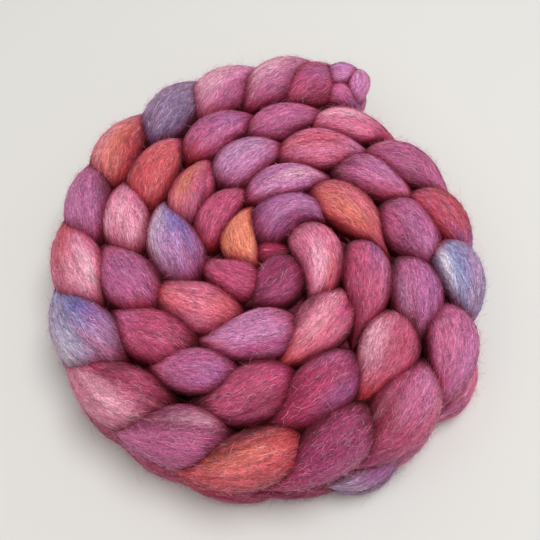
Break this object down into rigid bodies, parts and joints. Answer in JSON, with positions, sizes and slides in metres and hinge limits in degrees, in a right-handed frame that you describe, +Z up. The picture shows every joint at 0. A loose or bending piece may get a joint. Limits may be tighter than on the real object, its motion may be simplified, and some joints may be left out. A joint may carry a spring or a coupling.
{
  "type": "coiled chain-plaited wool roving",
  "caption": "Hand-dyed combed wool roving looped into a plump chain and coiled flat in a round spiral, with its closed chain end at the rim.",
  "frame": {"origin": "middle of the coil's outer box on the surface that it rests on", "axes": "+Z up, normal to the flat coil; +Y towards the side where the chain's outer end lies; +X to the right of it, seen from the front"},
  "size_m": [0.2104, 0.242, 0.0452],
  "materials": {
    "wool": "soft matte combed wool in dyed rose, magenta, plum, lavender, blue and coral"
  },
  "bodies": {
    "root": {"roving": "wool"}
  },
  "joints": []
}
